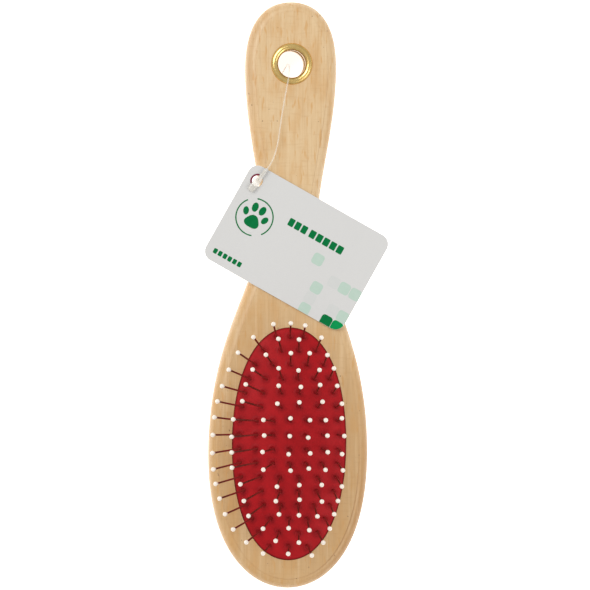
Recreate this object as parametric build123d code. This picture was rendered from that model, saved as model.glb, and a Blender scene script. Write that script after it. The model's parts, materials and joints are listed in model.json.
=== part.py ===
from build123d import *
import math
import os

# Wooden pin brush for grooming a pet: a flat handle-and-head body, a domed rubber cushion set in
# the head, 88 wire pins with round tips in 16 rows, a brass-eyeletted hanging hole, and a card
# swing tag on a clear plastic loop. Millimetres. The brush lies on its back: z = 0 is the back of
# the head, +Z the way the pins point, +Y towards the end of the handle, +X to the right. The
# origin is the middle of the brush's footprint.

# ---- wooden body ----
BRUSH_LENGTH = 225.0
HEAD_WIDTH = 61.0
TOE_TO_HEAD = 51.5  # from the toe of the head to its widest place
NECK_WIDTH = 21.0
TOE_TO_NECK = 139.5
GRIP_WIDTH = 34.9
END_TO_GRIP = 25.5  # from the end of the handle to its widest place
BODY_THICKNESS = 14.0
HANDLE_LIFT = 2.2  # how far the handle's back stands off the surface that the head lies on
LIFT_BEFORE_NECK = 23.0
LIFT_LENGTH = 26.0
FRONT_ROUND = 3.9
BACK_ROUND = 3.6
FACE_STEP = 0.25  # the flat front face stands this proud of the rounded edge
FACE_INSET = 3.7
# How far the outline's curves run on straight at their ends, as shares of their width or length.
TOE_ACROSS = 0.475
TOE_UP_SIDE = 0.725
HEAD_UP_SIDE = 0.53
NECK_DOWN_SIDE = 0.25
NECK_UP_SIDE = 0.27
GRIP_DOWN_SIDE = 0.38
GRIP_UP_SIDE = 0.775
END_ACROSS = 0.5

# ---- cushion and its recess ----
TOE_TO_PAD = 55.5  # from the toe of the head to the middle of the cushion
RECESS_WIDTH = 44.0
RECESS_LENGTH = 89.3
RECESS_DEPTH = 8.0
OVAL_FULLNESS = 0.60  # 0.552 is a true ellipse
OVAL_POWER = 2.2  # the power of the superellipse that is nearest to that oval
GROOVE_DEPTH = 1.3
GROOVE_HEIGHT = 2.4
GROOVE_BELOW_FACE = 4.6
PAD_GAP = 0.3
PAD_WALL = 1.5
DOME_RISE = 4.5  # crown of the cushion above the wood's front face
DOME_EDGE_RISE = 0.4
DOME_SPREAD = 1.25  # size of the dome's ellipsoid over the size of the pad

# ---- pins ----
ROW_COUNTS = [3, 4, 5, 6, 6, 6, 7, 7, 7, 7, 6, 6, 6, 5, 4, 3]
PIN_END_MARGIN = 4.9  # from the outermost rows to the ends of the recess, on average
PIN_ROWS_SHIFT = 0.95  # the middle of the rows stands this far up from the cushion's middle
PIN_SIDE_MARGIN = 3.3  # from the outermost pins of a middle row to the sides of the recess
PIN_SIDE_TUCK = 2.2  # how much further in those of the end rows stand
WIRE_DIAMETER = 0.7
PIN_LENGTH = 16.0  # from the cushion's face to the middle of the tip
TIP_DIAMETER = 1.75
TIP_SOCKET = 0.55  # how far the wire's end goes past the middle of the tip
PIN_HEAD_DIAMETER = 1.7
PIN_HEAD_THICKNESS = 0.5
PIN_HEAD_DEPTH = 3.3  # from the cushion's face, along the pin, to the top of its head
TIP_NECK_LENGTH = 1.05  # from the middle of the tip down to the end of its neck
TIP_NECK_WALL = 0.08
TIP_NECK_ANGLE = 55.0  # where the ball runs into its neck, below its middle
WIRE_CLEARANCE = 0.1
# The pins lean, and a lean is how far a tip lies over from its pin's foot.
FORE_LEAN = 4.35  # at most, towards the nearer end of the cushion
FORE_LEAN_SHIFT = 1.04  # and this much towards the handle in every row
FORE_LEAN_WITHIN = 32.4  # the distance over which it grows to its most
FORE_LEAN_FROM_PAD = 8.0  # where it starts, from the middle of the cushion
SIDE_LEAN = -1.4
LEFT_LEAN = 10.1  # the left-hand pins lie over this much further
LEFT_LEAN_WITHIN = 15.1
RIGHT_LEAN = 1.9
RIGHT_LEAN_WITHIN = 10.0
END_ROW_EASE = 0.72  # how much less the left-hand pins of the end rows lie over
PIN_SCATTER = 0.45
SCATTER_ACROSS = (2.4, 1.7)  # radians from row to row, and from pin to pin
SCATTER_ALONG = (1.3, 2.1)
EVEN_LEFT_PINS = 19.0  # the scatter across the brush dies away over this far to the left

# ---- hanging eye ----
END_TO_EYE = 23.9
EYELET_BORE = 10.6
EYELET_SHEET = 0.35
EYELET_FLANGE_WIDTH = 2.65
EYELET_CROWN = 0.9
EYELET_CREST = 0.42  # how far across the flange its crown is
EYELET_BARREL = 3.6

# ---- swing tag, its loop and lock ----
TAG_LENGTH = 61.0
TAG_WIDTH = 41.0
TAG_THICKNESS = 0.4
TAG_CORNER = 4.0
TAG_TURN = -29.0
TAG_HOLE = 4.2
TAG_HOLE_ALONG = -25.6  # from the card's middle, along its length
TAG_HOLE_ACROSS = 14.8
EYE_TO_TAG = 45.0  # from the eye down to the tag's hole
TAG_HOLE_OUT = 0.83  # the middle of the tag's hole, out from the handle's left edge
TAG_LIFT = 0.35  # the card's underside above the wood
LOOP_DIAMETER = 0.55
LOCK_LENGTH = 6.4
LOCK_WIDTH = 2.8
LOCK_THICKNESS = 1.5
LOCK_TURN = 53.0
LOCK_CORNER = 0.6
LOCK_GAP = 0.35
LOCK_SHIFT = 1.6  # the lock's middle from the tag's hole, down its own length
# The loop's route: across is a share of the way from the middle of the handle out to the tag's
# hole, and y is from the eye. Heights are from the wood's front face where the loop lies over it,
# and from the surface under the brush where it passes behind the handle.
LOOP_OVER_FACE = [
    (0.980, -44.65, 1.85),
    (0.779, -41.5, 2.3),
    (0.532, -36.7, 2.1),
    (0.401, -30.1, 2.0),
    (0.332, -22.6, 2.3),
    (0.239, -14.6, 2.9),
    (0.162, -8.6, 4.3),
    (0.108, -4.4, 4.6),
    (0.069, -1.2, 0.0),
]
LOOP_BEHIND = [
    (0.069, 0.3, 7.2),
    (0.100, -0.4, 0.5),
    (0.386, -7.6, 0.45),
    (0.633, -16.6, 0.5),
    (0.880, -25.0, 0.75),
    (1.080, -32.0, 2.2),
    (1.165, -37.0, 6.2),
]
LOOP_UP_TO_LOCK = [
    (1.096, -41.4, -3.8),
    (1.003, -44.4, -1.1),
    (1.000, -45.0, 1.6),
]

HALF_LENGTH = BRUSH_LENGTH / 2
FACE_Z = BODY_THICKNESS
HEAD_Y = TOE_TO_HEAD - HALF_LENGTH
NECK_Y = TOE_TO_NECK - HALF_LENGTH
GRIP_Y = HALF_LENGTH - END_TO_GRIP
PAD_Y = TOE_TO_PAD - HALF_LENGTH
EYE_Y = HALF_LENGTH - END_TO_EYE
TAG_Y = EYE_Y - EYE_TO_TAG
WIRE_RADIUS = WIRE_DIAMETER / 2
SPARE = 5.0  # how far a cutting shape goes past what it cuts
TOLERANCE = 0.01
WALL_SLOPE = 0.1  # an upright wall's normal rises less than this
ARC_SHARE = 0.45  # how much of a run of the loop the arc at each end of it may take


def quarter_curves(half_width, half_length, centre_y, fullness):
    """The right half of an oval, from its bottom to its top."""
    w, h, c, k = half_width, half_length, centre_y, fullness
    lower = Bezier((0, c - h), (w * k, c - h), (w, c - h * k), (w, c))
    upper = Bezier((w, c), (w, c + h * k), (w * k, c + h), (0, c + h))
    return [lower, upper]


def mirrored_face(right_half):
    """A face whose right half is bounded by these curves and the Y axis."""
    left_half = [mirror(curve, about=Plane.YZ) for curve in right_half]
    return make_face(right_half + left_half)


def handle_side(inset):
    """The right-hand side of the handle, from the neck to its widest place."""
    neck, grip, length = NECK_WIDTH / 2 - inset, GRIP_WIDTH / 2 - inset, GRIP_Y - NECK_Y
    return Bezier(
        (neck, NECK_Y),
        (neck, NECK_Y + NECK_UP_SIDE * length),
        (grip, GRIP_Y - GRIP_DOWN_SIDE * length),
        (grip, GRIP_Y),
    )


def body_outline(inset):
    """The board's outline, or that of its flat front face, which is smaller by inset."""
    head, grip, neck = (width / 2 - inset for width in (HEAD_WIDTH, GRIP_WIDTH, NECK_WIDTH))
    half_length = HALF_LENGTH - inset
    toe = HEAD_Y + half_length
    end = half_length - GRIP_Y
    shoulder = NECK_Y - HEAD_Y
    return mirrored_face(
        [
            Bezier(
                (0, -half_length),
                (TOE_ACROSS * head, -half_length),
                (head, HEAD_Y - TOE_UP_SIDE * toe),
                (head, HEAD_Y),
            ),
            Bezier(
                (head, HEAD_Y),
                (head, HEAD_Y + HEAD_UP_SIDE * shoulder),
                (neck, NECK_Y - NECK_DOWN_SIDE * shoulder),
                (neck, NECK_Y),
            ),
            handle_side(inset),
            Bezier(
                (grip, GRIP_Y),
                (grip, GRIP_Y + GRIP_UP_SIDE * end),
                (END_ACROSS * grip, half_length),
                (0, half_length),
            ),
        ]
    )


def handle_half_width(y):
    """Half the handle's width at this height, between the neck and its widest place."""
    side = handle_side(0)
    low, high = 0.0, 1.0
    while high - low > 1e-6:
        middle = (low + high) / 2
        if (side @ middle).Y < y:
            low = middle
        else:
            high = middle
    return (side @ low).X


def pad_oval(grow, low, high):
    """The cushion's oval, larger than the recess by grow all round, as a slab from low to high."""
    oval = quarter_curves(RECESS_WIDTH / 2 + grow, RECESS_LENGTH / 2 + grow, 0, OVAL_FULLNESS)
    slab = extrude(mirrored_face(oval), high - low)
    return Pos(0, PAD_Y, low) * slab


def under_handle():
    """What is planed off the back of the handle, with a smooth rise from the head."""
    start = NECK_Y - LIFT_BEFORE_NECK
    middle, stop = start + LIFT_LENGTH / 2, start + LIFT_LENGTH
    reach, low = HALF_LENGTH + SPARE, -SPARE
    side = make_face(
        [
            Bezier((start, 0), (middle, 0), (middle, HANDLE_LIFT), (stop, HANDLE_LIFT)),
            Polyline(
                (stop, HANDLE_LIFT), (reach, HANDLE_LIFT), (reach, low), (start, low), (start, 0)
            ),
        ]
    )
    return Pos(-HEAD_WIDTH, 0, 0) * extrude(Plane.YZ * side, 2 * HEAD_WIDTH)


def wall_edges(block, lowest, highest):
    """The edges of the block's upright walls that lie between these heights."""
    walls = block.faces().filter_by(lambda face: abs(face.normal_at().Z) < WALL_SLOPE)
    boxes = [(edge, edge.bounding_box()) for edge in walls.edges()]
    return [edge for edge, box in boxes if box.min.Z > lowest and box.max.Z < highest]


def brush_body():
    block = extrude(body_outline(0), BODY_THICKNESS - FACE_STEP) - under_handle()
    block = fillet(wall_edges(block, BODY_THICKNESS / 2, BODY_THICKNESS), FRONT_ROUND)
    block = fillet(wall_edges(block, -SPARE, HANDLE_LIFT + TOLERANCE), BACK_ROUND)
    face = extrude(body_outline(FACE_INSET), FRONT_ROUND)
    block += Pos(0, 0, BODY_THICKNESS - FRONT_ROUND) * face
    block -= pad_oval(0, FACE_Z - RECESS_DEPTH, FACE_Z + SPARE)
    groove_top = FACE_Z - GROOVE_BELOW_FACE
    block -= pad_oval(GROOVE_DEPTH, groove_top - GROOVE_HEIGHT, groove_top)
    eye_hole = Cylinder(EYELET_BORE / 2 + EYELET_SHEET, 3 * BODY_THICKNESS)
    return block - Pos(0, EYE_Y, 0) * eye_hole


def eyelet():
    """A rolled brass eyelet, its barrel down the Z axis and its flange seated on z = 0."""
    bore, sheet = EYELET_BORE / 2, EYELET_SHEET
    rim = bore + EYELET_FLANGE_WIDTH
    crest = bore + EYELET_CREST * EYELET_FLANGE_WIDTH
    outer = ThreePointArc((bore, 0), (crest, EYELET_CROWN), (rim, 0))
    inner = ThreePointArc((rim - sheet, 0), (crest, EYELET_CROWN - sheet), (bore + sheet, 0))
    section = make_face(
        [
            Line((bore, -EYELET_BARREL), (bore, 0)),
            outer,
            Line((rim, 0), (rim - sheet, 0)),
            inner,
            Polyline((bore + sheet, 0), (bore + sheet, -EYELET_BARREL), (bore, -EYELET_BARREL)),
        ]
    )
    return revolve(Plane.XZ * section, Axis.Z)


def dome_axes():
    """Semi-axes of the ellipsoid that the cushion's face is part of, and its middle's height."""
    edge_share = math.sqrt(1 - 1 / DOME_SPREAD**2)
    height = (DOME_RISE - DOME_EDGE_RISE) / (1 - edge_share)
    return (
        DOME_SPREAD * RECESS_WIDTH / 2,
        DOME_SPREAD * RECESS_LENGTH / 2,
        height,
        FACE_Z + DOME_RISE - height,
    )


def dome_height(x, y):
    a, b, c, middle = dome_axes()
    return middle + c * math.sqrt(1 - (x / a) ** 2 - ((y - PAD_Y) / b) ** 2)


def dome(lowered):
    a, b, c, middle = dome_axes()
    return Pos(0, PAD_Y, middle - lowered) * scale(Sphere(1), by=(a, b, c))


def smooth_share(value, within):
    """0 at zero, 1 from within on, with no kink between."""
    t = min(max(value / within, 0), 1)
    return t * t * (3 - 2 * t)


def row_y(row):
    first = RECESS_LENGTH / 2 - PIN_END_MARGIN
    return PAD_Y + PIN_ROWS_SHIFT + first * (1 - 2 * row / (len(ROW_COUNTS) - 1))


def row_reach(y):
    """How far a row's outermost pins stand from its middle."""
    along = 2 * abs(y - PAD_Y) / RECESS_LENGTH
    side = RECESS_WIDTH / 2 * (1 - along**OVAL_POWER) ** (1 / OVAL_POWER)
    return side - PIN_SIDE_MARGIN - PIN_SIDE_TUCK * along**2


def row_lean(y):
    """How far the tips of a row lie over along the brush."""
    quarter_turns = (y - PAD_Y - FORE_LEAN_FROM_PAD) / FORE_LEAN_WITHIN
    return FORE_LEAN * math.sin(quarter_turns * math.pi / 2) + FORE_LEAN_SHIFT


def scatter(row, pin, steps):
    """A small uneven offset, different from one pin to the next."""
    return PIN_SCATTER * math.sin(steps[0] * row + steps[1] * pin)


def pin_places(row):
    """A plane for each pin of a row, where it leaves the cushion, with Z along the pin."""
    count, y = ROW_COUNTS[row], row_y(row)
    ease = 1 - END_ROW_EASE * (2 * (y - PAD_Y) / RECESS_LENGTH) ** 2
    places = []
    for i in range(count):
        x = row_reach(y) * (2 * i / (count - 1) - 1)
        lean_x = SIDE_LEAN + RIGHT_LEAN * smooth_share(x, RIGHT_LEAN_WITHIN)
        lean_x -= LEFT_LEAN * ease * smooth_share(-x, LEFT_LEAN_WITHIN)
        lean_x += scatter(row, i, SCATTER_ACROSS) * (1 - smooth_share(-x, EVEN_LEFT_PINS))
        lean_y = row_lean(y) + scatter(row, i, SCATTER_ALONG)
        upward = math.sqrt(PIN_LENGTH**2 - lean_x**2 - lean_y**2)
        places.append(Plane(origin=(x, y, dome_height(x, y)), z_dir=(lean_x, lean_y, upward)))
    return places


def turned(*outline):
    """A solid of revolution about Z, from its outline of radii and heights."""
    return revolve(Plane.XZ * make_face(list(outline)), Axis.Z)


def pins_row(row):
    head, head_top = PIN_HEAD_DIAMETER / 2, -PIN_HEAD_DEPTH
    foot, end = head_top - PIN_HEAD_THICKNESS, PIN_LENGTH + TIP_SOCKET
    pin = turned(
        Polyline(
            (0, foot),
            (head, foot),
            (head, head_top),
            (WIRE_RADIUS, head_top),
            (WIRE_RADIUS, end),
            (0, end),
            (0, foot),
        )
    )
    return [place * pin for place in pin_places(row)]


def tips_row(row):
    ball, angle = TIP_DIAMETER / 2, math.radians(TIP_NECK_ANGLE)
    neck_top = (ball * math.cos(angle), PIN_LENGTH - ball * math.sin(angle))
    side, top = (ball, PIN_LENGTH), (0, PIN_LENGTH + ball)
    neck_end, socket_end = PIN_LENGTH - TIP_NECK_LENGTH, PIN_LENGTH + TIP_SOCKET
    tip = turned(
        ThreePointArc(neck_top, side, top),
        Polyline(
            top,
            (0, socket_end),
            (WIRE_RADIUS, socket_end),
            (WIRE_RADIUS, neck_end),
            (WIRE_RADIUS + TIP_NECK_WALL, neck_end),
            neck_top,
        ),
    )
    return [place * tip for place in pin_places(row)]


def cushion_pad():
    floor = FACE_Z - RECESS_DEPTH + PAD_GAP
    top = FACE_Z + DOME_RISE + SPARE
    groove_top = FACE_Z - GROOVE_BELOW_FACE
    pad = pad_oval(-PAD_GAP, floor, top) & dome(0)
    pad += pad_oval(
        GROOVE_DEPTH - PAD_GAP, groove_top - GROOVE_HEIGHT + PAD_GAP, groove_top - PAD_GAP
    )
    pad -= pad_oval(-PAD_GAP - PAD_WALL, floor - SPARE, top) & dome(PAD_WALL)
    hole = Cylinder(WIRE_RADIUS + WIRE_CLEARANCE, 2 * PIN_HEAD_DEPTH)
    return pad - [place * hole for row in range(len(ROW_COUNTS)) for place in pin_places(row)]


# The tag hangs beside the handle, whatever the handle's width there.
TAG_X = -handle_half_width(TAG_Y) - TAG_HOLE_OUT


def swing_tag():
    card = RectangleRounded(TAG_LENGTH, TAG_WIDTH, TAG_CORNER)
    card -= Pos(TAG_HOLE_ALONG, TAG_HOLE_ACROSS) * Circle(TAG_HOLE / 2)
    card = Pos(-TAG_HOLE_ALONG, -TAG_HOLE_ACROSS) * card
    sheet = extrude(card, TAG_THICKNESS)
    return Pos(TAG_X, TAG_Y, FACE_Z + TAG_LIFT) * Rot(0, 0, TAG_TURN) * sheet


def tag_loop():
    """The clear plastic filament: straight runs joined by arcs as large as the runs allow."""
    points = [Vector(TAG_X * x, EYE_Y + y, FACE_Z + z) for x, y, z in LOOP_OVER_FACE]
    points += [Vector(TAG_X * x, EYE_Y + y, z) for x, y, z in LOOP_BEHIND]
    points += [Vector(TAG_X * x, EYE_Y + y, FACE_Z + z) for x, y, z in LOOP_UP_TO_LOCK]
    radii = []
    for before, here, after in zip(points, points[1:], points[2:]):
        run_in, run_out = here - before, after - here
        turn = math.radians(run_in.get_angle(run_out))
        shorter = min(run_in.length, run_out.length)
        radii.append(ARC_SHARE * shorter / math.tan(turn / 2))
    print("loop radii:", [round(r, 1) for r in radii])
    route = FilletPolyline(*points, radius=radii)
    section = Plane(origin=points[0], z_dir=points[1] - points[0]) * Circle(LOOP_DIAMETER / 2)
    tube = sweep(section, path=route)
    expected = math.pi * LOOP_DIAMETER**2 / 4 * route.length
    print("loop length", round(route.length, 1), "volume", round(tube.volume, 3), round(expected, 3))
    return tube


def tag_lock(loop):
    """The flat lock that both ends of the loop are pressed into, over the tag's hole."""
    block = extrude(RectangleRounded(LOCK_LENGTH, LOCK_WIDTH, LOCK_CORNER), LOCK_THICKNESS)
    block = Pos(-LOCK_SHIFT, 0, 0) * block
    low = FACE_Z + TAG_LIFT + TAG_THICKNESS + LOCK_GAP
    return Pos(TAG_X, TAG_Y, low) * Rot(0, 0, LOCK_TURN) * block - loop


def save(name, shape):
    solids = shape if isinstance(shape, list) else [shape]
    solids = [s for piece in solids for s in piece.solids()]
    whole = solids[0] if len(solids) == 1 else Compound(children=solids)
    whole.label = name
    export_step(whole, f"parts/{name}.step")


os.makedirs("parts", exist_ok=True)
save("brush_body", brush_body())
save("eyelet_front", Pos(0, EYE_Y, FACE_Z) * eyelet())
save("eyelet_back", Pos(0, EYE_Y, HANDLE_LIFT) * Rot(180, 0, 0) * eyelet())
save("cushion_pad", cushion_pad())
for row_index in range(len(ROW_COUNTS)):
    save(f"pins_row_{row_index + 1:02d}", pins_row(row_index))
    save(f"tips_row_{row_index + 1:02d}", tips_row(row_index))
save("swing_tag", swing_tag())
loop_filament = tag_loop()
save("tag_loop", loop_filament)
save("tag_lock", tag_lock(loop_filament))
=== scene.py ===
import json
import math

import bmesh
import bpy
from mathutils import Matrix, Vector
from mathutils.kdtree import KDTree
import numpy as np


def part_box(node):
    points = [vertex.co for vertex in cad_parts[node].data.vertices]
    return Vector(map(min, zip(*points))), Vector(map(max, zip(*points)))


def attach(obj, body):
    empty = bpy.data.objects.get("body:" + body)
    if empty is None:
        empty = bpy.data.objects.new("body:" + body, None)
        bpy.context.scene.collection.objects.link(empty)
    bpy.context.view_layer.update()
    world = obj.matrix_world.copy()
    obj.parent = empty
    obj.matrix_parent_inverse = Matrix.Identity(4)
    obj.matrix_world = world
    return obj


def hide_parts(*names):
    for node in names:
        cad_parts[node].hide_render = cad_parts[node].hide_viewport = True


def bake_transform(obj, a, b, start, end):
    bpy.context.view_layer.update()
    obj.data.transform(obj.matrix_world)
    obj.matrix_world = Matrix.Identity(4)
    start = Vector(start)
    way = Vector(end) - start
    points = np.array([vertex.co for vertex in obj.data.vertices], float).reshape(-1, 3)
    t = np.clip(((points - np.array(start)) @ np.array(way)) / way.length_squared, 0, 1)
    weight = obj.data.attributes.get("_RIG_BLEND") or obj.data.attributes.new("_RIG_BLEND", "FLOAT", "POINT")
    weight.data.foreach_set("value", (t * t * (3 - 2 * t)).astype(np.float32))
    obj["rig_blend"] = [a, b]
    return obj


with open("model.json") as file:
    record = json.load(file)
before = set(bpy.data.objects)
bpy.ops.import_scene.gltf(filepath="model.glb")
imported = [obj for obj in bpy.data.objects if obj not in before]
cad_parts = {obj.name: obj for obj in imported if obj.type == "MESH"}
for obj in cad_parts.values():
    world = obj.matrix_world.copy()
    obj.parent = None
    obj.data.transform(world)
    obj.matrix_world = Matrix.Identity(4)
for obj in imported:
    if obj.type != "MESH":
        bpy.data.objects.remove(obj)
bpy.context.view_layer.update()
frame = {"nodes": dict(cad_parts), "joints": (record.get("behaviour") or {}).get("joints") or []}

# ---- wooden board ----
# The handle and head are one pale hardwood board, routed to shape with a rolled-over edge, sanded
# and given a thin satin lacquer. The grain runs along the handle.

MM = 0.001
nodes = frame["nodes"]
eye_low, eye_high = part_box("eyelet_front")
EYELET_CROWN = 0.912 * MM
eye = (eye_low + eye_high) / 2
face_z = eye_high.z - EYELET_CROWN
FACE_EDGE = face_z - 0.25 * MM  # the flat face's step down to the rolled edge

HANDLE_WOOD = (0.690, 0.490, 0.268, 1)
HEAD_WOOD = (0.590, 0.372, 0.168, 1)
WARM_WOOD = (0.590, 0.320, 0.105, 1)
FIBRE_WOOD = (0.430, 0.225, 0.075, 1)
PALE_WOOD = (0.800, 0.610, 0.370, 1)
PORE_WOOD = (0.150, 0.062, 0.022, 1)
SHADED_EDGE_WOOD = (0.430, 0.215, 0.068, 1)


def put(tree, socket, value):
    """Joins a value to a socket, or sets the socket to it."""
    if isinstance(value, bpy.types.NodeSocket):
        tree.links.new(value, socket)
    else:
        socket.default_value = value


def add(tree, kind, settings=None, values=(), **inputs):
    """A shader node. values go to its first sockets in order, and inputs go to sockets by name."""
    made = tree.nodes.new("ShaderNode" + kind)
    for name, setting in (settings or {}).items():
        setattr(made, name, setting)
    for socket, value in zip(made.inputs, values):
        put(tree, socket, value)
    for name, value in inputs.items():
        put(tree, made.inputs[name.replace("_", " ")], value)
    return made


def sum_of(tree, operation, *values, clamp=False):
    """One step of arithmetic, such as ADD or MULTIPLY."""
    return add(tree, "Math", {"operation": operation, "use_clamp": clamp}, values).outputs[0]


def blended(tree, share, first, second):
    """The first colour, with that share of the second."""
    mixer = add(tree, "Mix", {"data_type": "RGBA"})
    for name, value in (("Factor_Float", share), ("A_Color", first), ("B_Color", second)):
        put(tree, next(s for s in mixer.inputs if s.identifier == name), value)
    return next(s for s in mixer.outputs if s.identifier == "Result_Color")


def noise(tree, where, scale, detail=3.0, roughness=0.5):
    made = add(tree, "TexNoise", Vector=where, Scale=scale, Detail=detail, Roughness=roughness)
    return made.outputs["Fac"]


def spread(tree, value, low, high, to_low=0.0, to_high=1.0):
    """The stretch from low to high, spread smoothly over another."""
    ease = {"interpolation_type": "SMOOTHSTEP"}
    return add(tree, "MapRange", ease, (value, low, high, to_low, to_high)).outputs[0]


def in_mm(tree, longer=(1, 1, 1)):
    """Object coordinates in millimetres, so that a pattern is that many times longer each way."""
    place = add(tree, "TexCoord").outputs["Object"]
    return add(tree, "Mapping", Vector=place, Scale=[1 / (MM * times) for times in longer]).outputs[0]


def relief(tree, finish, height, depth, strength=1.0):
    """Bumps of that depth in millimetres."""
    bump = add(tree, "Bump", Strength=strength, Distance=depth * MM, Height=height)
    tree.links.new(bump.outputs["Normal"], finish.inputs["Normal"])


def new_material(name):
    material = bpy.data.materials.new(name)
    material.use_nodes = True
    tree = material.node_tree
    return material, tree, tree.nodes["Principled BSDF"]


def dress(node, material):
    nodes[node].data.materials.clear()
    nodes[node].data.materials.append(material)


def lacquered_wood():
    material, tree, finish = new_material("lacquered_hardwood")
    place = add(tree, "TexCoord").outputs["Object"]
    parts = add(tree, "SeparateXYZ", Vector=place)
    # The head is a little darker than the handle, and both are blotched under the lacquer.
    drift = noise(tree, in_mm(tree), 0.03, 2.0)
    down_handle = sum_of(tree, "ADD", parts.outputs["Y"], spread(tree, drift, 0, 1, -0.02, 0.02))
    colour = blended(tree, spread(tree, down_handle, -0.045, 0.045), HEAD_WOOD, HANDLE_WOOD)
    blotches = noise(tree, in_mm(tree, (1, 3.5, 2)), 0.16, 4.0, 0.62)
    colour = blended(tree, spread(tree, blotches, 0.42, 0.70, 0, 0.60), colour, WARM_WOOD)
    # Growth rings and fibres run along the handle, with rays across them, dashes and small pits.
    rings = noise(tree, in_mm(tree, (1, 22, 3)), 0.42, 3.0, 0.5)
    colour = blended(tree, spread(tree, rings, 0.5, 0.8, 0, 0.45), colour, PALE_WOOD)
    colour = blended(tree, spread(tree, rings, 0.5, 0.22, 0, 0.28), colour, WARM_WOOD)
    fibres = noise(tree, in_mm(tree, (1, 34, 2)), 2.2, 4.0, 0.65)
    colour = blended(tree, spread(tree, fibres, 0.45, 0.8, 0, 0.42), colour, FIBRE_WOOD)
    rays = noise(tree, in_mm(tree, (7, 1, 3)), 1.1, 2.0, 0.6)
    colour = blended(tree, spread(tree, rays, 0.5, 0.8, 0, 0.20), colour, FIBRE_WOOD)
    dashes = spread(tree, noise(tree, in_mm(tree, (1, 6, 2)), 0.85, 2.0, 0.45), 0.60, 0.70)
    colour = blended(tree, sum_of(tree, "MULTIPLY", dashes, 0.75), colour, WARM_WOOD)
    pits = spread(tree, noise(tree, in_mm(tree, (1, 1.8, 1)), 1.2, 1.0, 0.2), 0.785, 0.825)
    colour = blended(tree, sum_of(tree, "MULTIPLY", pits, 0.7), colour, PORE_WOOD)
    # Painted shade darkens the rolled edge, most at the handle's left and the head's right, and
    # a fine line of painted shade marks the step where the flat face ends there.
    # Painted shade on the rolled edge, by which side of the board it is on and how far down the edge.
    height = parts.outputs["Z"]
    corner = sum_of(tree, "MULTIPLY", parts.outputs["X"], parts.outputs["Y"])
    shade_side = spread(tree, corner, -0.0004, -0.0028, 0.12, 1.0)
    edge_shade = sum_of(tree, "MULTIPLY", shade_side, spread(tree, fibres, 0.25, 0.7, 0.6, 0.95))
    rolled_edge_shade = sum_of(tree, "MULTIPLY", edge_shade, spread(tree, height, FACE_EDGE, FACE_EDGE - 0.5 * MM))
    up_side = spread(tree, height, face_z - 6 * MM, face_z - 3 * MM, 0.35, 1.0)
    colour = blended(tree, sum_of(tree, "MULTIPLY", rolled_edge_shade, up_side), colour, SHADED_EDGE_WOOD)
    # Painted shade along the step where the flat face ends, stronger towards the toe and on the shaded
    # sides.
    above = spread(tree, height, FACE_EDGE - 0.14 * MM, FACE_EDGE - 0.04 * MM)
    below = spread(tree, height, FACE_EDGE + 0.08 * MM, FACE_EDGE + 0.02 * MM)
    crease_shade = sum_of(tree, "MULTIPLY", above, below)
    crease_shade = sum_of(tree, "MULTIPLY", crease_shade, spread(tree, parts.outputs["Y"], -0.04, -0.09, 0.1, 1.0))
    crease_shade = sum_of(tree, "MULTIPLY", crease_shade, shade_side)
    colour = blended(tree, crease_shade, colour, SHADED_EDGE_WOOD)
    put(tree, finish.inputs["Base Color"], colour)
    put(tree, finish.inputs["Roughness"], spread(tree, fibres, 0.3, 0.8, 0.42, 0.58))
    put(tree, finish.inputs["Coat Weight"], spread(tree, blotches, 0.3, 0.7, 0.25, 0.12))
    finish.inputs["Coat Roughness"].default_value = 0.3
    height = sum_of(tree, "SUBTRACT", sum_of(tree, "MULTIPLY", fibres, -0.5), pits)
    relief(tree, finish, height, 0.06, 0.6)
    return material


dress("brush_body", lacquered_wood())

# ---- hanging eyelets ----
# Two thin brass eyelets, one pressed into each end of the hole in the handle and rolled over, with
# bare wood between their barrels. The brass is lighter on the crown and darker down the bore.

BRIGHT_BRASS = (0.86, 0.62, 0.235, 1)
DULL_BRASS = (0.47, 0.27, 0.075, 1)
BRASS_SPOT = (0.20, 0.11, 0.035, 1)


def patches_and_specks_group():
    """Uneven patches and fine specks, for finishes that are not quite even."""
    group = bpy.data.node_groups.new("patches_and_specks", "ShaderNodeTree")
    for name in ("Patch Size", "Speck Size", "Speck Share"):
        group.interface.new_socket(name, in_out="INPUT", socket_type="NodeSocketFloat")
    for name in ("Patches", "Specks"):
        group.interface.new_socket(name, in_out="OUTPUT", socket_type="NodeSocketFloat")
    given = group.nodes.new("NodeGroupInput")
    result = group.nodes.new("NodeGroupOutput")
    patch_scale = sum_of(group, "DIVIDE", 1.0, given.outputs["Patch Size"])
    speck_scale = sum_of(group, "DIVIDE", 1.0, given.outputs["Speck Size"])
    patches = noise(group, in_mm(group), patch_scale, 4.0, 0.6)
    specks = noise(group, in_mm(group), speck_scale, 1.0, 0.4)
    limit = sum_of(group, "SUBTRACT", 0.78, given.outputs["Speck Share"])
    above = sum_of(group, "SUBTRACT", specks, limit)
    put(group, result.inputs["Patches"], spread(group, patches, 0.3, 0.7))
    put(group, result.inputs["Specks"], sum_of(group, "MULTIPLY", above, 14.0, clamp=True))
    return group


patches_and_specks = patches_and_specks_group()


def uneven(tree, patch_size, speck_size, speck_share):
    made = add(tree, "Group", {"node_tree": patches_and_specks}, (patch_size, speck_size, speck_share))
    return made.outputs["Patches"], made.outputs["Specks"]


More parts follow.
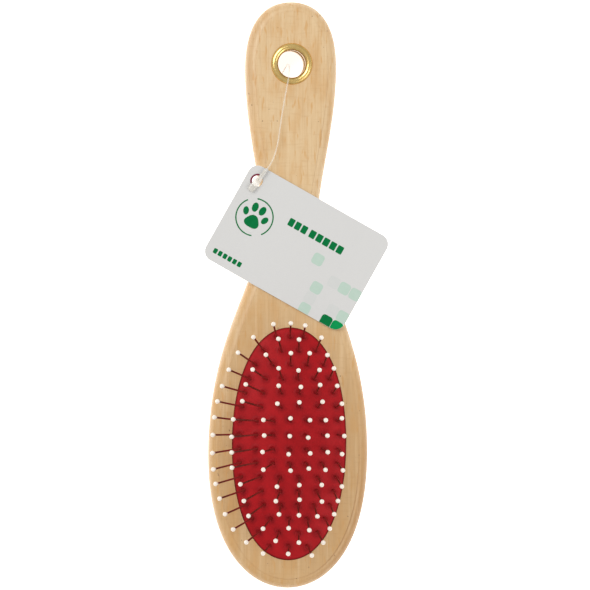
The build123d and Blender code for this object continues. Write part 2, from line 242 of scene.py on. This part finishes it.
def rolled_brass():
    material, tree, finish = new_material("rolled_brass")
    patches, specks = uneven(tree, patch_size=2.2, speck_size=0.4, speck_share=0.07)
    colour = blended(tree, sum_of(tree, "MULTIPLY", patches, 0.5), BRIGHT_BRASS, DULL_BRASS)
    colour = blended(tree, sum_of(tree, "MULTIPLY", specks, 0.45), colour, BRASS_SPOT)
    height = add(tree, "SeparateXYZ", Vector=add(tree, "TexCoord").outputs["Object"]).outputs["Z"]
    # Darker with depth down the bore.
    down_bore = spread(tree, height, face_z - 0.1 * MM, face_z - 3 * MM, 0, 0.75)
    put(tree, finish.inputs["Base Color"], blended(tree, down_bore, colour, DULL_BRASS))
    finish.inputs["Metallic"].default_value = 1.0
    put(tree, finish.inputs["Roughness"], spread(tree, patches, 0, 1, 0.17, 0.34))
    relief(tree, finish, patches, 0.03, 0.5)
    return material


brass = rolled_brass()
for name in ("eyelet_front", "eyelet_back"):
    dress(name, brass)

# ---- rubber cushion ----
# A moulded red rubber sheet, domed over an air space, with its rim bead snapped into a groove in
# the head. Each pin comes up through a dimple with a slightly raised lip.

pad_low, pad_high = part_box("cushion_pad")
pad_middle = (pad_low + pad_high) / 2
BEAD = 1.0 * MM  # the bead's reach past the sheet's upright rim
SHEET = 1.5 * MM
PAD_GAP = 0.3 * MM
PAD_LENGTH, PAD_WIDTH = (pad_high[axis] - pad_low[axis] - 2 * BEAD for axis in (1, 0))
OVAL_FULLNESS = 0.60
DOME_SPREAD = 1.25
EDGE_RISE = 0.4 * MM
ROUNDED_EDGE = 0.9 * MM
PAD_AROUND, PAD_RINGS, INNER_RINGS = 480, 104, 20
END_POINTS, HALVINGS = 12, 24  # for finding where a pin comes out of the dome
RING_CROWDING = 1.12  # over 1 sets the rings closer together near the rim
# Round each pin: how far its marks reach, the raised lip, the dimple inside it, and the painted
# shade round it. Distances from the pin are in millimetres.
MARKS_REACH = 3.4 * MM
LIP_RISE, LIP_AT, LIP_WIDTH = 0.17 * MM, 1.2, 0.38
DIMPLE_DEPTH, DIMPLE_WIDTH = 0.34 * MM, 0.72
PIN_SHADE_SHARE, PIN_SHADE_WIDTH = 0.8, 2.05
RIM_SHADE = 1.8  # at the sheet's edge, and none 1 mm inside it
# The rim below the dome's edge: how far out it stands, and its depth below the wood's face.
PAD_RIM = [(0.0, 0.9), (0.0, 4.9), (1.0, 5.1), (1.0, 6.5), (0.0, 6.7), (0.0, 7.7), (-1.5, 7.7)]
PAD_RED = (0.430, 0.0085, 0.0125, 1)
PAD_DARK_RED = (0.330, 0.0058, 0.0088, 1)
PAD_BLOOM = (0.480, 0.090, 0.085, 1)
PAD_SHADE = (0.135, 0.0040, 0.0065, 1)


def islands(mesh):
    """The separate solids of a mesh of loose triangles, as lists of points."""
    work = bmesh.new()
    work.from_mesh(mesh)
    bmesh.ops.remove_doubles(work, verts=work.verts, dist=0.001 * MM)
    left, found = set(work.verts), []
    for start in list(work.verts):
        if start not in left:
            continue
        left.discard(start)
        piece = [start]
        for vert in piece:
            near = {other for edge in vert.link_edges for other in edge.verts} & left
            left -= near
            piece += sorted(near, key=lambda other: other.index)
        found.append([vert.co.copy() for vert in piece])
    work.free()
    return found


def mean(points):
    return sum(points, Vector()) / len(points)


def dome_height(x, y):
    """Height of the sheet's outer face, part of an ellipsoid larger than the recess."""
    crown = (pad_high.z - face_z - EDGE_RISE) / (1 - math.sqrt(1 - DOME_SPREAD**-2))
    across = x / (DOME_SPREAD * (PAD_WIDTH / 2 + PAD_GAP))
    along = (y - pad_middle.y) / (DOME_SPREAD * (PAD_LENGTH / 2 + PAD_GAP))
    return pad_high.z - crown + crown * math.sqrt(1 - across**2 - along**2)


def pin_foot(points):
    """Where a pin comes out of the rubber."""
    ordered = sorted(points, key=lambda point: point.z)
    bottom, top = mean(ordered[:END_POINTS]), mean(ordered[-END_POINTS:])
    low, high = 0.0, 1.0
    for _ in range(HALVINGS):
        middle = (low + high) / 2
        at = bottom.lerp(top, middle)
        if at.z < dome_height(at.x, at.y):
            low = middle
        else:
            high = middle
    return bottom.lerp(top, low)


pin_feet = [
    pin_foot(points)
    for name in sorted(nodes)
    if name.startswith("pins_row")
    for points in islands(nodes[name].data)
]
feet_finder = KDTree(len(pin_feet))
for index, foot in enumerate(pin_feet):
    feet_finder.insert(foot, index)
feet_finder.balance()


def oval_place(turn, out):
    """A place on the cushion's oval, which is fuller than an ellipse, or that far outside it."""
    quarter, share = divmod(turn / (math.pi / 2), 1)
    rest, k = 1 - share, OVAL_FULLNESS
    near = rest**3 + 3 * rest * rest * share + 3 * rest * share * share * k
    far = 3 * rest * rest * share * k + 3 * rest * share * share + share**3
    across, along = [(near, far), (-far, near), (-near, -far), (far, -near)][int(quarter) % 4]
    return (PAD_WIDTH / 2 + out) * across, pad_middle.y + (PAD_LENGTH / 2 + out) * along


def next_ring(work, edges, place):
    """Extrudes a loop of edges, and puts each new point where it belongs."""
    grown = bmesh.ops.extrude_edge_only(work, edges=edges)["geom"]
    fresh = {item for item in grown if isinstance(item, bmesh.types.BMVert)}
    for vert in fresh:
        place(vert)
    return [e for e in grown if isinstance(e, bmesh.types.BMEdge) and set(e.verts) <= fresh]


def closed_middle(work, edges, height):
    ends = list({vert for edge in edges for vert in edge.verts})
    bmesh.ops.pointmerge(work, verts=ends, merge_co=(0, pad_middle.y, height))


def rubber_sheet():
    work = bmesh.new()
    turn = work.verts.layers.float.new("turn")
    painted_shade = work.verts.layers.float.new("painted_shade")

    def on_face(vert, share):
        edge_x, edge_y = oval_place(vert[turn], 0)
        x, y = share * edge_x, pad_middle.y + share * (edge_y - pad_middle.y)
        z = dome_height(x, y)
        to_edge = math.hypot(edge_x - x, edge_y - y)
        if to_edge < ROUNDED_EDGE:
            z -= ROUNDED_EDGE - math.sqrt(ROUNDED_EDGE**2 - (ROUNDED_EDGE - to_edge) ** 2)
        # Painted shade along the sheet's edge.
        vert[painted_shade] = max(0.0, RIM_SHADE - RIM_SHADE * to_edge / MM)
        for foot, _, _ in feet_finder.find_range(Vector((x, y, z)), MARKS_REACH):
            away = math.hypot(foot.x - x, foot.y - y) / MM
            z += LIP_RISE * math.exp(-(((away - LIP_AT) / LIP_WIDTH) ** 2))
            z -= DIMPLE_DEPTH * math.exp(-((away / DIMPLE_WIDTH) ** 2))
            # Painted shade round the pin's foot.
            pin_shade = PIN_SHADE_SHARE * math.exp(-((away / PIN_SHADE_WIDTH) ** 4))
            vert[painted_shade] = max(vert[painted_shade], pin_shade)
        vert.co = (x, y, z)

    def on_rim(vert, out, depth):
        vert[painted_shade] = RIM_SHADE
        vert.co = (*oval_place(vert[turn], out * MM), face_z - depth * MM)

    def under_face(vert, share):
        edge_x, edge_y = oval_place(vert[turn], -SHEET)
        x, y = share * edge_x, pad_middle.y + share * (edge_y - pad_middle.y)
        vert.co = (x, y, dome_height(x, y) - SHEET)

    for vert in bmesh.ops.create_circle(work, segments=PAD_AROUND, radius=1.0)["verts"]:
        vert[turn] = math.atan2(vert.co.y, vert.co.x) % math.tau
        on_face(vert, 1)
    rim = list(work.edges)
    edges = rim
    for ring in range(1, PAD_RINGS):
        share = 1 - (ring / PAD_RINGS) ** RING_CROWDING
        edges = next_ring(work, edges, lambda vert: on_face(vert, share))
    closed_middle(work, edges, pad_high.z)
    for out, depth in PAD_RIM:
        rim = next_ring(work, rim, lambda vert: on_rim(vert, out, depth))
    for ring in range(INNER_RINGS):
        rim = next_ring(work, rim, lambda vert: under_face(vert, 1 - ring / INNER_RINGS))
    closed_middle(work, rim, pad_high.z - SHEET)
    work.verts.layers.float.remove(turn)
    return work


def as_piece(name, work, material, smooth=True):
    bmesh.ops.recalc_face_normals(work, faces=work.faces)
    mesh = bpy.data.meshes.new(name)
    work.to_mesh(mesh)
    work.free()
    mesh.polygons.foreach_set("use_smooth", [smooth] * len(mesh.polygons))
    mesh.materials.append(material)
    piece = bpy.data.objects.new(name, mesh)
    bpy.context.scene.collection.objects.link(piece)
    return piece


def red_rubber():
    material, tree, finish = new_material("moulded_red_rubber")
    patches, specks = uneven(tree, patch_size=6.0, speck_size=0.7, speck_share=0.035)
    colour = blended(tree, sum_of(tree, "MULTIPLY", patches, 0.55), PAD_RED, PAD_DARK_RED)
    colour = blended(tree, sum_of(tree, "MULTIPLY", specks, 0.22), colour, PAD_BLOOM)
    # Painted shade round each pin's foot and along the sheet's rim darkens the red.
    painted_shade = add(tree, "Attribute", {"attribute_name": "painted_shade"}).outputs["Fac"]
    shade_share = sum_of(tree, "MULTIPLY", painted_shade, spread(tree, patches, 0, 1, 0.42, 0.62))
    colour = blended(tree, shade_share, colour, PAD_SHADE)
    put(tree, finish.inputs["Base Color"], colour)
    put(tree, finish.inputs["Roughness"], spread(tree, patches, 0, 1, 0.44, 0.58))
    finish.inputs["Specular IOR Level"].default_value = 0.12
    relief(tree, finish, noise(tree, in_mm(tree), 2.4, 3.0, 0.6), 0.05, 0.5)
    return material


PRESS_FROM, PRESS_ALL = 0.2 * MM, 1.4 * MM
cushion = as_piece("rubber_cushion", rubber_sheet(), red_rubber())
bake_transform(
    cushion,
    "brush",
    "cushion",
    start=(0, pad_middle.y, face_z + PRESS_FROM),
    end=(0, pad_middle.y, face_z + PRESS_ALL),
)
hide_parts("cushion_pad")

# ---- wire pins and their tips ----
# 88 straight steel pins coated a dark red-brown, each with a flat head under the rubber and a
# round glossy cream tip dipped on to its end, which runs down into a short neck.

REFLECTED_PAD_RED = (0.300, 0.0220, 0.0200, 1)
WIRE_BROWN = (0.150, 0.0150, 0.0070, 1)
WIRE_DARK = (0.100, 0.0105, 0.0055, 1)
WIRE_WORN = (0.230, 0.065, 0.040, 1)
TIP_CREAM = (0.900, 0.820, 0.730, 1)
TIP_SHADED = (0.780, 0.680, 0.560, 1)
TIP_SPOT = (0.480, 0.330, 0.240, 1)


def coated_wire():
    material, tree, finish = new_material("coated_pin_wire")
    patches, specks = uneven(tree, patch_size=1.4, speck_size=0.3, speck_share=0.08)
    colour = blended(tree, patches, WIRE_BROWN, WIRE_DARK)
    height = add(tree, "SeparateXYZ", Vector=add(tree, "TexCoord").outputs["Object"]).outputs["Z"]
    # Painted reflection of the red rubber makes the wire redder near it.
    pad_reflection = spread(tree, height, pad_high.z + 7 * MM, pad_high.z + 1 * MM, 0, 0.75)
    colour = blended(tree, pad_reflection, colour, REFLECTED_PAD_RED)
    colour = blended(tree, sum_of(tree, "MULTIPLY", specks, 0.5), colour, WIRE_WORN)
    put(tree, finish.inputs["Base Color"], colour)
    finish.inputs["Metallic"].default_value = 0.1
    finish.inputs["Specular IOR Level"].default_value = 0.35
    put(tree, finish.inputs["Roughness"], spread(tree, patches, 0, 1, 0.34, 0.48))
    relief(tree, finish, patches, 0.03, 0.4)
    return material


def cream_tip():
    material, tree, finish = new_material("dipped_cream_tip")
    patches, specks = uneven(tree, patch_size=0.9, speck_size=0.25, speck_share=0.04)
    colour = blended(tree, sum_of(tree, "MULTIPLY", patches, 0.5), TIP_CREAM, TIP_SHADED)
    colour = blended(tree, sum_of(tree, "MULTIPLY", specks, 0.3), colour, TIP_SPOT)
    put(tree, finish.inputs["Base Color"], colour)
    finish.inputs["Roughness"].default_value = 0.28
    finish.inputs["Coat Weight"].default_value = 0.3
    finish.inputs["Coat Roughness"].default_value = 0.1
    relief(tree, finish, patches, 0.03, 0.25)
    return material


wire, cream = coated_wire(), cream_tip()
for name in nodes:
    if name.startswith("pins_row"):
        dress(name, wire)
    if name.startswith("tips_row"):
        dress(name, cream)

# ---- swing tag ----
# A pale grey card with round corners and a punched hole, hung over the handle with a slight curl.
# It is printed in green ink with a plain paw in a ring, rows of blocks and a patch of squares.

swing = next(joint for joint in frame["joints"] if joint["name"] == "tag_swing")
tag_hole = Vector(swing["pos_m"])
TAG_LENGTH, TAG_WIDTH, TAG_THICKNESS = 61.0 * MM, 41.0 * MM, 0.4 * MM
TAG_CORNER = 4.0 * MM
HOLE_RADIUS = 2.1 * MM
HOLE_ALONG, HOLE_ACROSS = -25.6 * MM, 14.8 * MM  # from the card's middle
TAG_TURN = math.radians(-29)
TAG_CURL = 0.9 * MM  # how far the card's ends lift
FLAT_SHARE = (HOLE_ALONG / (TAG_LENGTH / 2)) ** 2 * 0.6  # keeps the middle flat
INK_THICKNESS = 0.025 * MM
TRIM = 0.06 * MM  # how far inside the card's edge the ink stops
TRIM_CUTS = 48
CARD_GREY = (0.635, 0.628, 0.612, 1)
CARD_FIBRE = (0.580, 0.572, 0.555, 1)
CARD_DUST = (0.560, 0.545, 0.520, 1)
# Each ink's squares in the patch: where they are along and across the card, in millimetres.
SQUARE, SQUARE_CORNER = 4.45, 1.15
PATCH = {
    "pale": [(9.4, 0.1), (14.2, -9.7), (23.7, -4.7), (28.4, -4.7), (14.1, -18.9), (28.4, -14.5)],
    "faint": [(19.0, -4.6), (14.0, -14.3), (23.8, -14.3)],
    "dark": [(23.6, -19.0)],
    "bright": [(28.2, -19.0)],
}
# Blocks in rows: the row's first block along and across the card, how many, and their size.
BLOCK_ROWS = [((-6.4, 7.4), 3, 2.25, 3.1), ((2.9, 7.4), 5, 2.45, 3.1), ((-26.5, -16.4), 6, 1.55, 2.0)]
BLOCK_GAP, BLOCK_CORNER = 0.55, 0.35
# The paw: where each toe is from the paw's middle, its half width and height, and its turn. Then
# its pad, with three lobes, and the ring's two radii and the angles where its two parts start.
PAW_AT = (-19.8, 2.2)
PAW_TOES = [(-4.1, 0.7, 1.1, 1.6, 24), (-1.6, 3.5, 1.25, 1.85, 8), (1.6, 3.5, 1.25, 1.85, -8)]
PAW_TOES += [(4.1, 0.7, 1.1, 1.6, -24)]
PAW_PAD_AT, PAW_PAD, LOBES = (-19.8, 0.2), (2.9, 2.5), 0.1
PAW_RING, RING_STARTS, RING_TURN = (6.9, 7.4), (-40, 140), 150
EDGING_RADII, EDGING_START, EDGING_TURN = (2.12, 2.80), 100, 140
INKS = {
    "dark": ((0.0010, 0.148, 0.038, 1), (0.0015, 0.175, 0.050, 1)),
    "bright": ((0.0010, 0.262, 0.068, 1), (0.0025, 0.305, 0.090, 1)),
    "pale": ((0.460, 0.590, 0.500, 1), (0.505, 0.605, 0.535, 1)),
    "faint": ((0.600, 0.608, 0.588, 1), (0.618, 0.618, 0.600, 1)),
    "maroon": ((0.170, 0.020, 0.048, 1), (0.260, 0.050, 0.085, 1)),
}


def hung(work, above):
    """Lays a shape drawn on the flat card, in metres from its middle, on the curled, hung card."""
    for vert in work.verts:
        share = vert.co.x / (TAG_LENGTH / 2)
        lift = TAG_CURL * (share**2 - FLAT_SHARE)
        vert.co.z += above + max(lift, 0.0)
    bmesh.ops.translate(work, verts=work.verts, vec=(-HOLE_ALONG, -HOLE_ACROSS, 0))
    bmesh.ops.rotate(work, verts=work.verts, cent=(0, 0, 0), matrix=Matrix.Rotation(TAG_TURN, 3, "Z"))
    bmesh.ops.translate(work, verts=work.verts, vec=tag_hole)


def in_strips(work, step=2.0 * MM):
    """Cuts a flat shape across at even steps, so that it can curl."""
    count = int(TAG_LENGTH / step)
    for index in range(1, count):
        every = work.verts[:] + work.edges[:] + work.faces[:]
        along = -TAG_LENGTH / 2 + index * TAG_LENGTH / count
        bmesh.ops.bisect_plane(work, geom=every, plane_co=(along, 0, 0), plane_no=(1, 0, 0))


def thickened(work, thickness):
    grown = bmesh.ops.extrude_face_region(work, geom=work.faces[:])["geom"]
    verts = [item for item in grown if isinstance(item, bmesh.types.BMVert)]
    bmesh.ops.translate(work, verts=verts, vec=(0, 0, thickness))


def rounded_sheet(length, width, corner, segments):
    """A flat rectangle with round corners."""
    work = bmesh.new()
    bmesh.ops.create_grid(work, x_segments=1, y_segments=1, size=0.5)
    bmesh.ops.scale(work, vec=(length, width, 1), verts=work.verts)
    bmesh.ops.bevel(
        work,
        geom=work.verts[:],
        offset=corner,
        offset_type="OFFSET",
        segments=segments,
        profile=0.5,
        affect="VERTICES",
        material=-1,
    )
    return work


def card_blank():
    work = rounded_sheet(TAG_LENGTH, TAG_WIDTH, TAG_CORNER, 10)
    bmesh.ops.delete(work, geom=work.faces[:], context="FACES_ONLY")
    hole = Matrix.Translation((HOLE_ALONG, HOLE_ACROSS, 0))
    bmesh.ops.create_circle(work, segments=40, radius=HOLE_RADIUS, matrix=hole)
    bmesh.ops.triangle_fill(work, edges=work.edges[:], use_beauty=True, normal=(0, 0, 1))
    in_strips(work)
    thickened(work, TAG_THICKNESS)
    hung(work, 0)
    return work


def pale_card():
    material, tree, finish = new_material("pale_card")
    patches, specks = uneven(tree, patch_size=9.0, speck_size=0.5, speck_share=0.03)
    pulp = noise(tree, in_mm(tree), 3.5, 4.0, 0.65)
    colour = blended(tree, spread(tree, pulp, 0.35, 0.75, 0, 0.35), CARD_GREY, CARD_FIBRE)
    colour = blended(tree, sum_of(tree, "MULTIPLY", specks, 0.25), colour, CARD_DUST)
    put(tree, finish.inputs["Base Color"], colour)
    put(tree, finish.inputs["Roughness"], spread(tree, patches, 0, 1, 0.48, 0.6))
    finish.inputs["Specular IOR Level"].default_value = 0.3
    relief(tree, finish, pulp, 0.02, 0.35)
    return material


def on_tag(piece):
    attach(piece, "tag")
    return piece


card = on_tag(as_piece("tag_card", card_blank(), pale_card(), smooth=False))
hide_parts("swing_tag")


def ink(name):
    material, tree, finish = new_material("ink_" + name)
    full, thin = INKS[name]
    patches, specks = uneven(tree, patch_size=1.8, speck_size=0.35, speck_share=0.08)
    share = sum_of(tree, "MULTIPLY", sum_of(tree, "ADD", patches, specks, clamp=True), 0.55)
    put(tree, finish.inputs["Base Color"], blended(tree, share, full, thin))
    put(tree, finish.inputs["Roughness"], spread(tree, patches, 0, 1, 0.4, 0.52))
    finish.inputs["Specular IOR Level"].default_value = 0.06
    return material


def trimmed(work):
    """Cuts off what would print past the card's edges and round corners."""
    for step in range(TRIM_CUTS):
        turn = math.tau * step / TRIM_CUTS
        side = Vector((math.cos(turn), math.sin(turn), 0))
        corner = Vector(
            (
                math.copysign(TAG_LENGTH / 2 - TAG_CORNER, side.x),
                math.copysign(TAG_WIDTH / 2 - TAG_CORNER, side.y),
                0,
            )
        )
        every = work.verts[:] + work.edges[:] + work.faces[:]
        edge = corner + side * (TAG_CORNER - TRIM)
        bmesh.ops.bisect_plane(work, geom=every, plane_co=edge, plane_no=side, clear_outer=True)


def joined(parts):
    """One bmesh from several."""
    whole = bmesh.new()
    for part in parts:
        mesh = bpy.data.meshes.new("part")
        part.to_mesh(mesh)
        part.free()
        whole.from_mesh(mesh)
        bpy.data.meshes.remove(mesh)
    return whole


def printed(name, shapes):
    """Flat shapes, in metres from the card's middle, as one thin layer of ink."""
    work = joined(shapes)
    trimmed(work)
    in_strips(work)
    thickened(work, INK_THICKNESS)
    hung(work, TAG_THICKNESS)
    on_tag(as_piece("tag_print_" + name, work, ink(name.split("_")[0]), smooth=False))


def placed(work, at, turn=0.0):
    bmesh.ops.rotate(
        work, verts=work.verts, cent=(0, 0, 0), matrix=Matrix.Rotation(math.radians(turn), 3, "Z")
    )
    bmesh.ops.translate(work, verts=work.verts, vec=(at[0] * MM, at[1] * MM, 0))
    return work


def blob(across, along, half_width, half_height, turn):
    work = bmesh.new()
    bmesh.ops.create_circle(work, cap_ends=True, segments=36, radius=MM)
    bmesh.ops.scale(work, vec=(half_width, half_height, 1), verts=work.verts)
    return placed(work, (PAW_AT[0] + across, PAW_AT[1] + along), turn)


def arc_band(radii, first, turn, middle):
    """A flat band along part of a circle, between two radii, that turns from a first angle."""
    work = bmesh.new()
    outward = Matrix.Rotation(math.radians(first), 3, "Z") @ Vector((MM, 0, 0))
    ends = [bmesh.ops.create_vert(work, co=outward * radius)["vert"][0] for radius in radii]
    start = [work.edges.new(ends)]
    bmesh.ops.spin(
        work,
        geom=ends + start,
        cent=(0, 0, 0),
        axis=(0, 0, 1),
        angle=math.radians(turn),
        steps=28,
        use_merge=False,
    )
    return placed(work, middle)


def paw():
    """Four toes, a three-lobed pad and a ring in two parts round them."""
    shapes = [blob(*toe) for toe in PAW_TOES]
    pad = bmesh.new()
    bmesh.ops.create_circle(pad, cap_ends=True, segments=48, radius=MM)
    for vert in pad.verts:
        lobe = 1 - LOBES * math.sin(3 * math.atan2(vert.co.y, vert.co.x))
        vert.co = (vert.co.x * lobe * PAW_PAD[0], vert.co.y * lobe * PAW_PAD[1], 0)
    shapes.append(placed(pad, PAW_PAD_AT))
    shapes += [arc_band(PAW_RING, start, RING_TURN, PAW_AT) for start in RING_STARTS]
    return shapes


for shade, places in PATCH.items():
    squares = [
        placed(rounded_sheet(SQUARE * MM, SQUARE * MM, SQUARE_CORNER * MM, 5), at) for at in places
    ]
    printed(shade + "_squares", squares)
blocks = [
    placed(
        rounded_sheet(w * MM, h * MM, BLOCK_CORNER * MM, 3), (at[0] + index * (w + BLOCK_GAP), at[1])
    )
    for at, count, w, h in BLOCK_ROWS
    for index in range(count)
]
printed("dark_blocks", blocks)
printed("dark_paw", paw())
hole_middle = (HOLE_ALONG / MM, HOLE_ACROSS / MM)
printed("maroon_hole_edge", [arc_band(EDGING_RADII, EDGING_START, EDGING_TURN, hole_middle)])

# ---- tag's loop and lock ----
# A clear plastic filament goes from the lock over the face, down through the eyelets, back behind
# the handle and round its side to the lock. Both of its ends are pressed into the lock.

LOOP_DIAMETER = 0.55 * MM
# across is a share of the way from the middle of the handle out to the tag's hole, and y is from
# the eye. Heights are from the wood's face over it, and from the surface below behind the handle.
LOOP_OVER_FACE = [
    (0.980, -44.65, 1.85),
    (0.779, -41.5, 2.3),
    (0.532, -36.7, 2.1),
    (0.401, -30.1, 2.0),
    (0.332, -22.6, 2.3),
    (0.239, -14.6, 2.9),
    (0.162, -8.6, 4.3),
    (0.108, -4.4, 4.6),
    (0.069, -1.2, 0.0),
]
LOOP_BEHIND = [
    (0.069, 0.3, 7.2),
    (0.100, -0.4, 0.5),
    (0.386, -7.6, 0.45),
    (0.633, -16.6, 0.5),
    (0.880, -25.0, 0.75),
    (1.080, -32.0, 2.2),
    (1.165, -37.0, 6.2),
]
LOOP_UP_TO_LOCK = [
    (1.096, -41.4, -3.8),
    (1.003, -44.4, -1.1),
    (1.000, -45.0, 1.6),
]
route = [(tag_hole.x * x, eye.y + y * MM, face_z + z * MM) for x, y, z in LOOP_OVER_FACE]
route += [(tag_hole.x * x, eye.y + y * MM, z * MM) for x, y, z in LOOP_BEHIND]
route += [(tag_hole.x * x, eye.y + y * MM, face_z + z * MM) for x, y, z in LOOP_UP_TO_LOCK]
CLEAR_PLASTIC = (0.900, 0.880, 0.840, 1)
CLOUDY_PLASTIC = (0.600, 0.560, 0.480, 1)


def clear_plastic(name, cloudiness, alpha):
    material, tree, finish = new_material(name)
    patches, specks = uneven(tree, patch_size=1.5, speck_size=0.3, speck_share=0.05)
    share = sum_of(tree, "MULTIPLY", sum_of(tree, "ADD", patches, specks, clamp=True), cloudiness)
    put(tree, finish.inputs["Base Color"], blended(tree, share, CLEAR_PLASTIC, CLOUDY_PLASTIC))
    put(tree, finish.inputs["Roughness"], spread(tree, patches, 0, 1, 0.18, 0.3))
    finish.inputs["Alpha"].default_value = alpha
    finish.inputs["Coat Weight"].default_value = 0.4
    relief(tree, finish, patches, 0.02, 0.3)
    return material


curve = bpy.data.curves.new("tag_loop_filament", "CURVE")
curve.dimensions = "3D"
curve.bevel_depth = LOOP_DIAMETER / 2
curve.bevel_resolution = 3
curve.use_fill_caps = True
spline = curve.splines.new("NURBS")
spline.points.add(len(route) - 1)
for point, place in zip(spline.points, route):
    point.co = (*place, 1)
spline.order_u = 3
spline.use_endpoint_u = True
spline.resolution_u = 8
curve.materials.append(clear_plastic("clear_filament", cloudiness=0.4, alpha=0.24))
filament = bpy.data.objects.new("tag_loop_filament", curve)
bpy.context.scene.collection.objects.link(filament)
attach(filament, "brush")
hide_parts("tag_loop")

# Along the lock from its lower end to its tongue's: the distance past the tag's hole, half the
# width, half the thickness, and how far the tongue has risen.
LOCK_STATIONS = [
    (-4.75, 0.85, 0.30, 0.0),
    (-4.55, 1.15, 0.52, 0.0),
    (-4.00, 1.34, 0.66, 0.0),
    (-2.60, 1.40, 0.72, 0.0),
    (-0.40, 1.40, 0.75, 0.0),
    (0.80, 1.20, 0.72, 0.02),
    (1.55, 0.92, 0.60, 0.06),
    (2.60, 0.80, 0.50, 0.16),
    (4.20, 0.66, 0.44, 0.33),
    (5.60, 0.48, 0.40, 0.42),
    (6.20, 0.34, 0.34, 0.42),
]
LOCK_TURN = math.radians(52)
lock_low, lock_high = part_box("tag_lock")


def squared(x, y, power=0.62):
    """Makes a circle's point one of a flatter, squarer oval's."""
    return math.copysign(abs(x) ** power, x), math.copysign(abs(y) ** power, y)


def flat_lock():
    work = bmesh.new()

    def on_station(vert, station, side, up):
        along, half_width, half_height, rise = station
        vert.co = (along, side * half_width, up * half_height + rise)

    def on_next(vert):
        _, half_width, half_height, rise = before
        on_station(vert, station, vert.co.y / half_width, (vert.co.z - rise) / half_height)

    for vert in bmesh.ops.create_circle(work, segments=28, radius=1.0)["verts"]:
        on_station(vert, LOCK_STATIONS[0], *squared(vert.co.x, vert.co.y))
    edges = list(work.edges)
    for before, station in zip(LOCK_STATIONS, LOCK_STATIONS[1:]):
        edges = next_ring(work, edges, on_next)
    bmesh.ops.holes_fill(work, edges=[e for e in work.edges if e.is_boundary], sides=0)
    bmesh.ops.scale(work, vec=(MM, MM, MM), verts=work.verts)
    bmesh.ops.rotate(
        work, verts=work.verts, cent=(0, 0, 0), matrix=Matrix.Rotation(LOCK_TURN, 3, "Z")
    )
    middle = (lock_low.z + lock_high.z) / 2
    bmesh.ops.translate(work, verts=work.verts, vec=(tag_hole.x, tag_hole.y, middle))
    return work


clouded = clear_plastic("clouded_lock", cloudiness=0.9, alpha=0.60)
lock = as_piece("tag_lock_clip", flat_lock(), clouded)
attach(lock, "brush")
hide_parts("tag_lock")

# ---- floor, light and camera ----
# A plain pale glowing surface a hair below the brush, clear from below, soft studio light from
# above and the left, and a long lens that looks down on the brush's face.

FLOOR_WHITE, FLOOR_PALER = (0.93, 0.93, 0.925, 1), (0.95, 0.95, 0.945, 1)
FLOOR_DROP = 0.05 * MM
LOOK_LEFT, LOOK_UP, ROLL = math.radians(4.5), math.radians(0.5), math.radians(0.41)
FIELD = 0.2261  # width of what the picture takes in, at the wood's face
LENS, SENSOR = 250, 36
aim = Vector((1.84, 0.08, 14.0)) * MM


def pale_floor():
    material, tree, finish = new_material("pale_floor")
    patches, _ = uneven(tree, patch_size=60.0, speck_size=1.0, speck_share=0.0)
    put(tree, finish.inputs["Base Color"], blended(tree, patches, FLOOR_WHITE, FLOOR_PALER))
    finish.inputs["Roughness"].default_value = 0.85
    finish.inputs["Emission Color"].default_value = (1, 1, 1, 1)
    finish.inputs["Emission Strength"].default_value = 0.8
    from_below = add(tree, "NewGeometry").outputs["Backfacing"]
    put(tree, finish.inputs["Alpha"], sum_of(tree, "SUBTRACT", 1.0, from_below))
    return material


ground = bmesh.new()
bmesh.ops.create_grid(ground, x_segments=1, y_segments=1, size=3.0)
bmesh.ops.translate(ground, verts=ground.verts, vec=(0, 0, -FLOOR_DROP))
floor = as_piece("floor", ground, pale_floor(), smooth=False)

camera = bpy.data.objects.new("camera", bpy.data.cameras.new("camera"))
camera.data.lens, camera.data.sensor_width = LENS, SENSOR
camera.data.clip_end = 20
away = Vector((-math.tan(LOOK_LEFT), math.tan(LOOK_UP), 1)).normalized()
camera.location = aim + away * FIELD * LENS / SENSOR
right = Vector((0, 1, 0)).cross(away).normalized()
facing = Matrix((right, away.cross(right), away)).transposed()
camera.rotation_euler = (facing @ Matrix.Rotation(ROLL, 3, "Z")).to_euler()
bpy.context.scene.collection.objects.link(camera)
bpy.context.scene.camera = camera


def soft_light(name, place, size, power):
    light = bpy.data.objects.new(name, bpy.data.lights.new(name, "AREA"))
    light.data.shape = "SQUARE"
    light.data.size = size
    light.data.energy = power
    light.location = place
    light.rotation_euler = (Vector(place) - aim).to_track_quat("Z", "Y").to_euler()
    bpy.context.scene.collection.objects.link(light)


soft_light("key_light", place=(-0.55, 0.45, 0.95), size=0.65, power=6.5)
soft_light("fill_light", place=(0.70, -0.35, 0.80), size=0.70, power=3.0)
studio = bpy.data.worlds.new("studio")
studio.use_nodes = True
studio.node_tree.nodes["Background"].inputs["Color"].default_value = (1, 1, 1, 1)
studio.node_tree.nodes["Background"].inputs["Strength"].default_value = 0.60
bpy.context.scene.world = studio
bpy.context.scene.view_settings.view_transform = "Standard"
